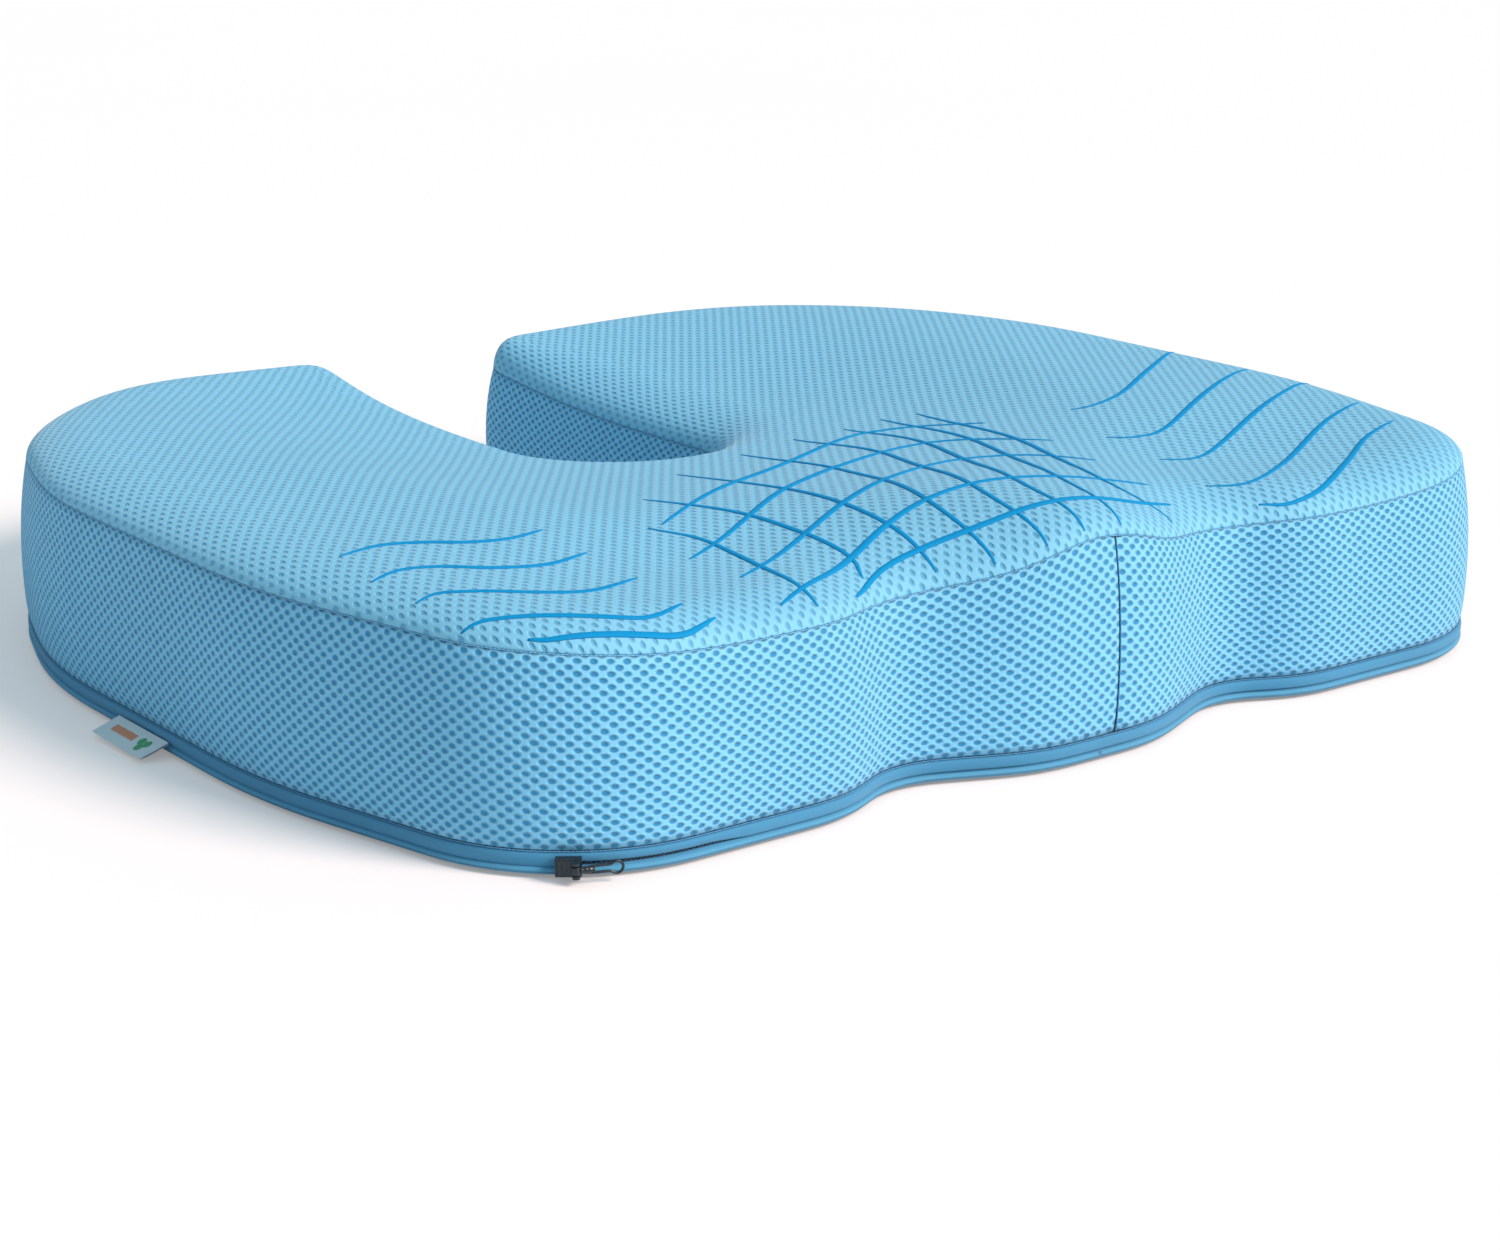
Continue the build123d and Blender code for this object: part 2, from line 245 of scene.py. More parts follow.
def sweep(distance, offsets, heights, closed):
    """Rows of points that follow the plan, each at an outward offset and a height."""
    base, normal = plan_at(distance)
    rows = []
    for offset, height in zip(offsets, heights):
        xy = base + normal * np.broadcast_to(offset, distance.shape)[:, None]
        rows.append(np.column_stack([xy, np.broadcast_to(height, distance.shape)]))
    points = np.stack(rows)
    across = section_distance(points)
    weave = np.zeros_like(points)
    weave[:, :, 0] = distance[None]
    weave[:, :, 1] = across[:, None]
    faces = strip_faces(len(rows), len(distance), closed)
    return points.reshape(-1, 3), faces, weave.reshape(-1, 3)


def cross_ways(normal):
    """The outward and the upward direction at points on the plan."""
    return np.column_stack([normal, np.zeros(len(normal))]), np.tile([0.0, 0.0, 1.0], (len(normal), 1))


def tube(centre, side, up, radius, closed, around=8, flat=1.0):
    """A tube round a line of points. side and up are its cross directions, and flat squeezes it along up."""
    count = len(centre)
    angles = np.linspace(0, 2 * pi, around, endpoint=False)
    radius = np.broadcast_to(radius, (count,))[:, None, None]
    ring = np.cos(angles)[None, :, None] * side[:, None] + flat * np.sin(angles)[None, :, None] * up[:, None]
    points = (centre[:, None] + radius * ring).transpose(1, 0, 2)
    steps = np.linalg.norm(np.diff(centre, axis=0), axis=1)
    weave = np.zeros_like(points)
    weave[:, :, 0] = np.r_[0, np.cumsum(steps)][None]
    weave[:, :, 1] = (angles * radius.mean())[:, None]
    faces = strip_faces(around, count, closed, closed_rows=True)
    if not closed:
        faces.append([row * count for row in range(around)])
        faces.append([row * count + count - 1 for row in range(around)][::-1])
    return points.reshape(-1, 3), faces, weave.reshape(-1, 3)


def joined(parts):
    """Several (points, faces, weave) as one."""
    points, faces, weave, start = [], [], [], 0
    for part_points, part_faces, part_weave in parts:
        points.append(part_points)
        weave.append(part_weave)
        faces += [[corner + start for corner in face] for face in part_faces]
        start += len(part_points)
    return np.concatenate(points), faces, np.concatenate(weave)


def make_object(name, shape, material, outward=False):
    """A mesh object from (points, faces, weave), in metres."""
    points, faces, weave = shape
    mesh = bpy.data.meshes.new(name)
    mesh.from_pydata((points * MM).tolist(), [], faces)
    attribute = mesh.attributes.new("weave", "FLOAT_VECTOR", "POINT")
    attribute.data.foreach_set("vector", weave.astype(np.float32).ravel())
    mesh.materials.append(material)
    if outward:
        shell = bmesh.new()
        shell.from_mesh(mesh)
        bmesh.ops.recalc_face_normals(shell, faces=shell.faces)
        shell.to_mesh(mesh)
        shell.free()
    mesh.shade_smooth()
    piece = bpy.data.objects.new(name, mesh)
    bpy.context.scene.collection.objects.link(piece)
    return piece


def settle(piece, body, nodes):
    """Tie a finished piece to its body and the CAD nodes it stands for."""
    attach(piece, body)
    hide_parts(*nodes)
    return piece


def inside(points, loop):
    """Which points lie inside a closed loop, and how far each is from it."""
    a, b = loop, np.roll(loop, -1, axis=0)
    x, y = points[:, :1], points[:, 1:]
    crosses = (a[:, 1] > y) != (b[:, 1] > y)
    rise = np.where(np.abs(b[:, 1] - a[:, 1]) < 1e-12, 1e-12, b[:, 1] - a[:, 1])
    hit = x < (b[:, 0] - a[:, 0]) * (y - a[:, 1]) / rise + a[:, 0]
    edge, start = b - a, points[:, None] - a
    share = np.clip((start * edge).sum(2) / (edge**2).sum(1), 0, 1)
    gap = np.sqrt(((start - share[..., None] * edge) ** 2).sum(2)).min(1)
    return ((crosses & hit).sum(1) % 2 == 1), gap


def filled(loop, spacing):
    """Points inside a closed loop and the triangles that fill it. The loop's own points come first."""
    rise = spacing * sin(radians(60))
    xs = np.arange(-WIDTH / 2, WIDTH / 2, spacing)
    ys = np.arange(FRONT, REAR, rise)
    grid = np.array([(x + (k % 2) * spacing / 2, y) for k, y in enumerate(ys) for x in xs])
    keep = []
    for start in range(0, len(grid), 2000):
        within, gap = inside(grid[start:start + 2000], loop)
        keep.append(within & (gap > 0.6 * spacing))
    points = np.vstack([loop, grid[np.concatenate(keep)]])
    count = len(loop)
    edges = [(i, (i + 1) % count) for i in range(count)]
    placed, _, faces, source, _, _ = delaunay_2d_cdt([Vector(p) for p in points], edges, [], 1, 1e-5)
    if len(placed) != len(points):
        raise RuntimeError("the triangulation added points: the loop crosses itself")
    first = [where[0] for where in source]
    return points, [[first[corner] for corner in face] for face in faces]


# ---------------------------------------------------------------- materials
class Nodes:
    """A material's node tree, with short calls for the nodes that the finishes use."""

    def __init__(self, name):
        self.material = bpy.data.materials.new(name)
        self.material.use_nodes = True
        self.tree = self.material.node_tree
        self.shader = self.tree.nodes["Principled BSDF"]
        self.weave = self.node("ShaderNodeAttribute", attribute_name="weave").outputs["Vector"]
        self.place = self.node("ShaderNodeTexCoord").outputs["Object"]

    def node(self, kind, **settings):
        made = self.tree.nodes.new(kind)
        for key, value in settings.items():
            setattr(made, key, value)
        return made

    def put(self, socket, value):
        """Link a socket to an input, or set the input's own value."""
        if isinstance(value, bpy.types.NodeSocket):
            self.tree.links.new(value, socket)
        else:
            socket.default_value = value

    def math(self, operation, a, b=0.0):
        made = self.node("ShaderNodeMath", operation=operation)
        self.put(made.inputs[0], a)
        self.put(made.inputs[1], b)
        return made.outputs[0]

    def total(self, start, *terms):
        """A number plus each (socket, weight) of the terms."""
        for socket, weight in terms:
            start = self.math("ADD", start, self.math("MULTIPLY", socket, weight))
        return start

    def parts(self, vector):
        """The x, y and z of a vector."""
        made = self.node("ShaderNodeSeparateXYZ")
        self.put(made.inputs[0], vector)
        return made.outputs

    def vector(self, operation, a, b=(0.0, 0.0, 0.0)):
        made = self.node("ShaderNodeVectorMath", operation=operation)
        self.put(made.inputs[0], a)
        self.put(made.inputs[1], b)
        return made.outputs["Value" if operation == "LENGTH" else "Vector"]

    def smooth(self, value, start, end, low=0.0, high=1.0):
        made = self.node("ShaderNodeMapRange", interpolation_type="SMOOTHSTEP")
        for name, setting in zip(("From Min", "From Max", "To Min", "To Max"), (start, end, low, high)):
            made.inputs[name].default_value = setting
        self.put(made.inputs["Value"], value)
        return made.outputs["Result"]

    def noise(self, vector, scale, detail=3.0, roughness=0.5):
        made = self.node("ShaderNodeTexNoise")
        self.put(made.inputs["Vector"], vector)
        for name, setting in (("Scale", scale), ("Detail", detail), ("Roughness", roughness)):
            made.inputs[name].default_value = setting
        return made.outputs["Fac"]

    def mix(self, share, first, second):
        made = self.node("ShaderNodeMix", data_type="RGBA")
        self.put(made.inputs[0], share)
        self.put(made.inputs[6], (*first, 1.0) if isinstance(first, tuple) else first)
        self.put(made.inputs[7], (*second, 1.0) if isinstance(second, tuple) else second)
        return made.outputs[2]

    def scaled(self, colour, factor):
        """A colour or a place, times a factor."""
        made = self.node("ShaderNodeVectorMath", operation="SCALE")
        self.put(made.inputs[0], colour)
        self.put(made.inputs["Scale"], factor)
        return made.outputs["Vector"]

    def relief(self, height, depth_mm, strength=1.0):
        made = self.node("ShaderNodeBump")
        made.inputs["Strength"].default_value = strength
        made.inputs["Distance"].default_value = depth_mm * MM
        self.put(made.inputs["Height"], height)
        self.put(self.shader.inputs["Normal"], made.outputs["Normal"])

    def finish(self, colour, roughness, **more):
        self.put(self.shader.inputs["Base Color"], (*colour, 1.0) if isinstance(colour, tuple) else colour)
        self.put(self.shader.inputs["Roughness"], roughness)
        for name, value in more.items():
            self.put(self.shader.inputs[name.replace("_", " ")], value)
        return self.material


def srgb(red, green, blue):
    """Linear colour of an 8-bit screen colour."""
    parts = [value / 255 for value in (red, green, blue)]
    return tuple(p / 12.92 if p <= 0.04045 else ((p + 0.055) / 1.055) ** 2.4 for p in parts)


LABEL_LENGTH = 10.0
INK = srgb(0, 144, 196)
# The hole colours are painted shade: the knit's colour darkens to them inside each hole.
LIGHT_BLUE, HOLE_SHADE_BLUE = srgb(138, 204, 233), srgb(44, 140, 186)
TOP_BLUE, TOP_HOLE_SHADE_BLUE = srgb(138, 199, 223), srgb(100, 170, 202)


def hole_distance(n, cell, stretch):
    """Distance in millimetres to the nearest hole of the knit: at the corners and middle of each cell."""
    share = n.vector("DIVIDE", n.weave, (cell[0], cell[1], 1.0))
    nearest = []
    for shift in (0.0, 0.5):
        placed = n.vector("ADD", share, (shift, shift, 0.0))
        part = n.vector("SUBTRACT", n.vector("FRACTION", placed), (0.5, 0.5, 0.0))
        flat = n.vector("MULTIPLY", part, (cell[0] / stretch[0], cell[1] / stretch[1], 0.0))
        nearest.append(n.vector("LENGTH", flat))
    return n.math("MINIMUM", *nearest)


def mesh_fabric(name, cell, stretch, light, hole_shade_colour, hole_size, depth):
    """Air-mesh knit: rows of holes between raised strands of yarn. Each hole is painted darker, as painted
    shade inside it.
    """
    n = Nodes(name)
    wander = n.noise(n.weave, 0.35, 2.0)
    uneven = n.math("MULTIPLY", n.math("SUBTRACT", wander, 0.5), 0.5)
    gap = n.math("ADD", hole_distance(n, cell, stretch), uneven)
    hole_shade = n.smooth(gap, hole_size * 1.25, hole_size * 0.55)
    yarn = n.noise(n.vector("MULTIPLY", n.weave, (1.0, 2.6, 1.0)), 2.2, 2.0, 0.6)
    broad = n.noise(n.place, 9.0, 3.0)
    wear = n.noise(n.place, 55.0, 4.0, 0.6)
    tone = n.total(0.81, (yarn, 0.22), (broad, 0.10), (wear, 0.06))
    # Painted shade: inside each hole the colour darkens towards the hole colour.
    colour = n.scaled(n.mix(hole_shade, light, hole_shade_colour), tone)
    height = n.total(n.smooth(gap, hole_size * 0.45, hole_size * 1.6), (yarn, 0.12))
    n.relief(height, depth)
    return n.finish(colour, n.smooth(yarn, 0.2, 0.9, 0.62, 0.82), Sheen_Weight=0.25, Sheen_Roughness=0.4)


def woven_tape(name, colour, pitch=0.55):
    """Plain woven tape: fine ribs along its length with crossing weft."""
    n = Nodes(name)
    weft, warp, _ = n.parts(n.scaled(n.weave, 2 * pi / pitch))
    weave = n.math("MULTIPLY", n.math("SINE", warp), n.math("SINE", weft))
    broad = n.noise(n.place, 30.0, 3.0)
    colour = n.scaled(colour, n.total(0.86, (weave, 0.06), (broad, 0.24)))
    n.relief(n.math("MULTIPLY", weave, 0.5), 0.12)
    return n.finish(colour, n.smooth(broad, 0.3, 0.7, 0.55, 0.72), Sheen_Weight=0.2)


def thread(name, colour):
    """Twisted sewing thread."""
    n = Nodes(name)
    length, around, _ = n.parts(n.weave)
    ply = n.math("SINE", n.total(0.0, (length, 5.0), (around, 6.0)))
    fuzz = n.noise(n.weave, 3.0, 3.0)
    colour = n.scaled(colour, n.total(0.8, (fuzz, 0.4)))
    n.relief(ply, 0.1)
    return n.finish(colour, n.smooth(fuzz, 0.3, 0.7, 0.5, 0.7), Sheen_Weight=0.2)


def foam_finish():
    """Open-cell foam."""
    n = Nodes("memory_foam")
    cells = n.node("ShaderNodeTexVoronoi")
    n.put(cells.inputs["Vector"], n.place)
    cells.inputs["Scale"].default_value = 900.0
    pore = n.smooth(cells.outputs["Distance"], 0.1, 0.6)
    colour = n.mix(pore, srgb(224, 210, 176), srgb(246, 238, 214))
    n.relief(pore, 0.4)
    return n.finish(colour, n.smooth(pore, 0.0, 1.0, 0.95, 0.85))


def base_finish():
    """Non-slip base cloth with moulded dots."""
    n = Nodes("base_cloth")
    weft, warp, _ = n.parts(n.scaled(n.place, 2 * pi / (0.9 * MM)))
    weave = n.math("MULTIPLY", n.math("SINE", weft), n.math("SINE", warp))
    dot = n.smooth(n.parts(n.weave)[2], 0.4, 0.6)
    broad = n.noise(n.place, 40.0, 4.0)
    cloth = n.mix(n.smooth(weave, -1.0, 1.0), srgb(44, 62, 84), srgb(70, 92, 118))
    colour = n.scaled(n.mix(dot, cloth, srgb(24, 30, 40)), n.total(0.8, (broad, 0.4)))
    n.relief(n.math("MULTIPLY", weave, n.math("SUBTRACT", 1.0, dot)), 0.15)
    return n.finish(colour, n.smooth(dot, 0.0, 1.0, 0.85, 0.45))


def lacquer(name, colour, roughness):
    """Lacquered zinc with fine casting grain and rubbed edges."""
    n = Nodes(name)
    grain = n.noise(n.place, 1800.0, 4.0, 0.6)
    broad = n.noise(n.place, 260.0, 3.0)
    rubbed = n.smooth(broad, 0.7, 0.9)
    colour = n.mix(rubbed, colour, tuple(value * 3 for value in colour))
    n.relief(grain, 0.04)
    gloss = n.smooth(grain, 0.3, 0.7, roughness - 0.08, roughness + 0.1)
    return n.finish(colour, gloss, Metallic=0.0, Coat_Weight=0.3)


def coil_finish():
    """Nylon zip coil."""
    n = Nodes("zip_nylon")
    tint = n.noise(n.weave, 1.5, 3.0)
    colour = n.mix(tint, srgb(16, 62, 104), srgb(34, 100, 150))
    n.relief(tint, 0.08)
    return n.finish(colour, n.smooth(tint, 0.2, 0.8, 0.32, 0.5))


def print_finish():
    """Rubbery ink printed on the knit."""
    n = Nodes("contour_ink")
    cover = n.noise(n.place, 1400.0, 3.0)
    broad = n.noise(n.place, 60.0, 2.0)
    colour = n.scaled(INK, n.total(0.78, (cover, 0.25), (broad, 0.2)))
    n.relief(cover, 0.08)
    return n.finish(colour, n.smooth(cover, 0.3, 0.7, 0.6, 0.75), Specular_IOR_Level=0.2)


def label_finish():
    """Woven satin label with a plain orange bar and a green patch of three rounds."""
    n = Nodes("label_satin")
    across, down, side = n.parts(n.weave)
    front = n.smooth(side, 0.4, 0.6)
    wobble = n.math("MULTIPLY", n.math("SUBTRACT", n.noise(n.weave, 1.4, 2.0), 0.5), 0.8)
    from_bar = n.math("ABSOLUTE", n.math("ADD", across, 4.5))
    from_line = n.math("ABSOLUTE", n.math("SUBTRACT", down, LABEL_LENGTH * 0.46))
    bar = n.math("MULTIPLY", n.smooth(n.math("ADD", from_bar, wobble), 7.6, 7.0),
                 n.smooth(n.math("ADD", from_line, wobble), 1.7, 1.3))
    leaf = None
    for turn in (90, 210, 330):
        middle = (8.6 + 2.0 * cos(radians(turn)), LABEL_LENGTH * 0.5 + 1.6 * sin(radians(turn)), 0.0)
        flat = n.vector("MULTIPLY", n.vector("SUBTRACT", n.weave, middle), (1.0, 1.0, 0.0))
        spot = n.smooth(n.total(n.vector("LENGTH", flat), (wobble, 0.5)), 1.9, 1.5)
        leaf = spot if leaf is None else n.math("MAXIMUM", leaf, spot)
    satin = n.math("SINE", n.math("MULTIPLY", across, 2 * pi / 0.5))
    ground = n.mix(n.smooth(satin, -1.0, 1.0), srgb(250, 240, 232), srgb(255, 250, 244))
    colour = n.mix(n.math("MULTIPLY", bar, front), ground, srgb(255, 150, 96))
    colour = n.mix(n.math("MULTIPLY", leaf, front), colour, srgb(72, 170, 96))
    n.relief(satin, 0.05)
    return n.finish(colour, n.smooth(satin, -1.0, 1.0, 0.38, 0.5), Sheen_Weight=0.2)


side_fabric = mesh_fabric("side_mesh", SIDE_CELL, (1.35, 0.85), LIGHT_BLUE, HOLE_SHADE_BLUE, 0.82, 0.7)
top_fabric = mesh_fabric("top_mesh", TOP_CELL, (0.75, 1.5), TOP_BLUE, TOP_HOLE_SHADE_BLUE, 0.85, 0.45)
strip_cloth = woven_tape("strip_tape", srgb(72, 146, 182))
piping_cloth = woven_tape("piping_cloth", srgb(88, 160, 192), pitch=0.7)
seam_thread = thread("seam_thread", srgb(126, 194, 230))
dark_thread = thread("dark_thread", srgb(84, 158, 202))


# ---------------------------------------------------------------- top of the cover
RING_POINTS = 700
TOP_SPACING = 4.5
SEAM_TUCKS = ((3.2, 0.1), (1.6, 0.05), (0.15, 0.0))  # how far in the turned edge runs, and how high
SHOULDER_SHARES = (0.003, 0.012, 0.05, 0.11, 0.19, 0.29, 0.40, 0.52, 0.65, 0.82, 1.0)


def top_shape(lift=0.0, inset=0.0, ring_points=RING_POINTS, spacing=TOP_SPACING, tucked=True):
    """The contoured top: rings over the shoulder from the seam in, and a filled middle."""
    distance = np.linspace(0, PLAN_LENGTH, ring_points, endpoint=False)
    base, normal = plan_at(distance)
    reach = shoulder_width(distance)
    edge_z = seam_height(base[:, 0], base[:, 1])
    rows = []
    if tucked:
        for tuck, rise in SEAM_TUCKS:
            rows.append(np.column_stack([base - normal * (LEAN + tuck), edge_z + rise]))
    start = LEAN + inset
    for share in SHOULDER_SHARES:
        xy = base - normal * (start + (reach - start) * share)[:, None]
        crest = top_height(xy[:, 0], xy[:, 1])
        rise = np.sqrt(1 - (1 - share) ** 2)
        rows.append(np.column_stack([xy, edge_z + (crest - edge_z) * rise + lift]))
    points = np.stack(rows)
    steps = np.linalg.norm(np.diff(points, axis=0), axis=2)
    unrolled = np.vstack([np.cumsum(steps[::-1], axis=0)[::-1], np.zeros((1, ring_points))])
    weave = np.zeros_like(points)
    weave[:, :, :2] = points[-1, :, :2] + normal * unrolled[:, :, None]
    weave[:, :, 2] = (unrolled / SHOULDER).clip(0, 1)
    faces = strip_faces(len(points), ring_points, True)
    loop = points[-1, :, :2]
    flat, triangles = filled(loop, spacing)
    middle = flat[ring_points:]
    z = top_height(middle[:, 0], middle[:, 1]) + lift
    start = (len(points) - 1) * ring_points
    points = np.vstack([points.reshape(-1, 3), np.column_stack([middle, z])])
    weave = np.vstack([weave.reshape(-1, 3), np.column_stack([middle, np.zeros(len(middle))])])
    faces += [[corner + start for corner in face] for face in triangles]
    return points, faces, weave


def smooth_once(piece):
    """One level of subdivision, applied."""
    finer = piece.modifiers.new("finer", "SUBSURF")
    finer.levels = finer.render_levels = 1
    shaped = bpy.data.meshes.new_from_object(piece.evaluated_get(bpy.context.evaluated_depsgraph_get()))
    old = piece.data
    piece.modifiers.clear()
    piece.data = shaped
    bpy.data.meshes.remove(old)


def add_top():
    piece = make_object("cover_top", top_shape(), top_fabric)
    smooth_once(piece)
    return settle(piece, "cushion", ["top_panel"])


# ---------------------------------------------------------------- sides of the cover
BAND_ROWS = 20
BAND_STEP = 2.6
BAND_BULGE = 1.1
TURNED_EDGE = (1.6, 3.2)  # how far in the cloth runs where it is turned in at a seam
BANDS = {  # piece: where it starts and ends along the plan, and its CAD node
    "cover_side_right": (FRONT_JOIN, RIGHT_JOIN, "band_right"),
    "cover_side_notch": (RIGHT_JOIN, LEFT_JOIN, "band_notch"),
    "cover_side_left": (LEFT_JOIN, FRONT_JOIN + PLAN_LENGTH, "band_left"),
}


def bulge(share):
    """How far the side stands out at a share of its height, before it leans in."""
    return BAND_BULGE * (1 - (2 * share - 1) ** 2)


def band_shape(start, end):
    """A length of side band between two points on the plan: a gentle bulge, turned in at both seams."""
    count = int((end - start) / BAND_STEP)
    distance = np.linspace(start + 0.3, end - 0.3, count)
    base, _ = plan_at(distance)
    top = seam_height(base[:, 0], base[:, 1]) - SEAM_GROOVE
    share = np.linspace(0, 1, BAND_ROWS)
    offsets = bulge(share) - (0.5 * bump(share, 0.05) + 0.12 * bump(1 - share, 0.04))
    heights = [BAND_BOTTOM + (top - BAND_BOTTOM) * k for k in share]
    pull = 0.6 * (bump(distance - start, 3.0) + bump(distance - end, 3.0))
    offsets = [offset - pull - lean(k) for offset, k in zip(offsets, share)]
    foot, head = np.zeros_like(pull), offsets[-1]
    near, far = TURNED_EDGE
    offsets = [foot - far, foot - near, *offsets, head - near, head - far]
    heights = [heights[0], heights[0], *heights, heights[-1], heights[-1]]
    return sweep(distance, offsets, heights, False)


def add_bands():
    """The side bands, each with its length in metres."""
    bands = []
    for name, (start, end, node) in BANDS.items():
        piece = make_object(name, band_shape(start, end), side_fabric)
        bands.append((settle(piece, "cushion", [node]), (end - start) * MM))
    return bands


# ---------------------------------------------------------------- seams
STITCH = 3.2
THREAD = 0.2


def stitched(centre, side, up, distance, radius, closed):
    """Thread that swells with each stitch and sinks between them."""
    swell = radius * (0.72 + 0.28 * np.abs(np.sin(pi * distance / STITCH)))
    return tube(centre, side, up, swell, closed, around=6)


def ring_seam(offset, height_of):
    """Thread that runs all round the plan, at an outward offset and a height worked out at each point."""
    distance = np.linspace(0, PLAN_LENGTH, int(PLAN_LENGTH / 0.8), endpoint=False)
    base, normal = plan_at(distance)
    centre = np.column_stack([base + normal * offset, height_of(base)])
    return stitched(centre, *cross_ways(normal), distance, THREAD, True)


def upright(where, depth=0.25):
    """Thread of an upright join, from the strip to the top seam."""
    base, normal = plan_at(np.array([where]))
    top = seam_height(*base[0]) - 0.6
    height = np.arange(BAND_BOTTOM, top, 0.6)
    share = (height - BAND_BOTTOM) / (top - BAND_BOTTOM)
    offset = bulge(share) - depth - lean(share)
    xy = base + normal * offset[:, None]
    centre = np.column_stack([xy, height])
    side = np.tile([*normal[0], 0.0], (len(height), 1))
    along_edge = np.tile([-normal[0, 1], normal[0, 0], 0.0], (len(height), 1))
    return stitched(centre, side, along_edge, height, THREAD * 1.1, False)


def add_seams():
    """The stitched seams: round the top, round the bottom of the bands, and the upright joins."""
    top_line = ring_seam(-LEAN - 0.12, lambda place: seam_height(place[:, 0], place[:, 1]))
    base_line = ring_seam(-0.3, lambda place: np.full(len(place), STRIP_TOP + 0.4))
    for name, node, line, cotton in (
        ("thread_top", "top_seam", top_line, seam_thread),
        ("thread_base", "base_seam", base_line, dark_thread),
        ("thread_front", "front_seam", upright(FRONT_JOIN), dark_thread),
        ("thread_rear", "rear_seams", joined([upright(RIGHT_JOIN), upright(LEFT_JOIN)]), dark_thread),
    ):
        settle(make_object(name, line, cotton, True), "cushion", [node])


# ---------------------------------------------------------------- strip, zip and piping
FLY_LIP = 1.1  # how far the fly hangs below its strip, over the coil
SLIDER_ROOM = 44.0  # length of zip left open below the fly for the slider to run in
FLY_TAPER = 18.0  # length over which the fly comes down
SLIDER_LEAD = 4.0  # the zip starts this far before the middle of the slider
COIL_PITCH = 1.4


def corner_box(name):
    """Lowest and highest corners of a CAD node, in millimetres."""
    lowest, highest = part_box(name)
    return np.array(lowest) / MM, np.array(highest) / MM


def add_edge():
    """The smooth strip, the zip under it and the piping round the bottom."""
    slider_middle = sum(corner_box("zip_slider")) / 2
    zip_start = plan_distance(slider_middle[0], slider_middle[1]) - SLIDER_LEAD - PLAN_LENGTH
    zip_end = RIGHT_JOIN
    covered = zip_start + SLIDER_ROOM
    distance = np.linspace(zip_start, zip_end, int((zip_end - zip_start) / 2))
    lip = STRIP_BOTTOM - FLY_LIP * ease(covered, covered + FLY_TAPER, distance)
    fly = sweep(distance, [-2.2, -0.6, -0.5, -0.2, 0.08, 0.15, 0.05, -0.3, -1.6],
                [STRIP_BOTTOM + 0.4, STRIP_BOTTOM + 0.4, lip + 0.15, lip, lip + 0.4,
                 0.5 * (STRIP_BOTTOM + STRIP_TOP), STRIP_TOP - 0.5, STRIP_TOP, STRIP_TOP], False)
    tape = sweep(distance, [-0.7, -0.7, -1.8], [PIPING_TOP - 0.6, COIL_BOTTOM, COIL_BOTTOM], False)
    zip_again = zip_start + PLAN_LENGTH
    distance = np.linspace(zip_end, zip_again, int((zip_again - zip_end) / 2))
    plain = sweep(distance, [-1.2, -0.5, 0.15, 0.05, -0.3, -1.6],
                  [PIPING_TOP - 0.6, PIPING_TOP + 0.4, 0.5 * (PIPING_TOP + STRIP_TOP),
                   STRIP_TOP - 0.5, STRIP_TOP, STRIP_TOP], False)
    for name, node, shape in (
        ("zip_fly", "upper_zip_tape", fly),
        ("zip_tape", "lower_zip_tape", tape),
        ("edge_strip", "plain_strip", plain),
    ):
        settle(make_object(name, shape, strip_cloth), "cushion", [node])
    add_coil(zip_start, zip_end)
    add_piping()


def add_piping():
    """Round piping all the way round the bottom edge."""
    distance = np.linspace(0, PLAN_LENGTH, int(PLAN_LENGTH / 1.5), endpoint=False)
    base, normal = plan_at(distance)
    middle, radius = (PIPING_BOTTOM + PIPING_TOP) / 2, (PIPING_TOP - PIPING_BOTTOM) / 2
    centre = np.column_stack([base - normal * radius * 0.8, np.full(len(base), middle)])
    cord = tube(centre, *cross_ways(normal), radius, True, around=12)
    settle(make_object("edge_piping", cord, piping_cloth, True), "cushion", ["piping"])


def add_coil(start, end):
    """Zip coil: a round wire that runs in and out along the channel."""
    steps, wire_radius, depth, reach = 8, 0.28, 1.7, 0.55
    turns = int((end - start) / COIL_PITCH)
    angle = np.linspace(0, 2 * pi * turns, turns * steps)
    distance = start + 1 + angle / (2 * pi) * COIL_PITCH
    base, normal = plan_at(distance)
    middle, half = (COIL_BOTTOM + COIL_TOP) / 2, (COIL_TOP - COIL_BOTTOM) / 2 - 0.25
    xy = base + normal * (-depth + reach * np.cos(angle))[:, None]
    centre = np.column_stack([xy, middle + half * np.sin(angle)])
    side = np.column_stack([normal, np.zeros(len(normal))])
    up = np.column_stack([-normal[:, 1], normal[:, 0], np.zeros(len(normal))])
    wire = tube(centre, side, up, wire_radius, False, around=4)
    settle(make_object("zip_teeth", wire, coil_finish(), True), "cushion", ["zip_coil"])


# ---------------------------------------------------------------- foam, base cloth
COARSE_RING, COARSE_SPACING = 420, 14.0
FOAM_INSET = 3.3
FOAM_BOTTOM = PIPING_BOTTOM + 1.4


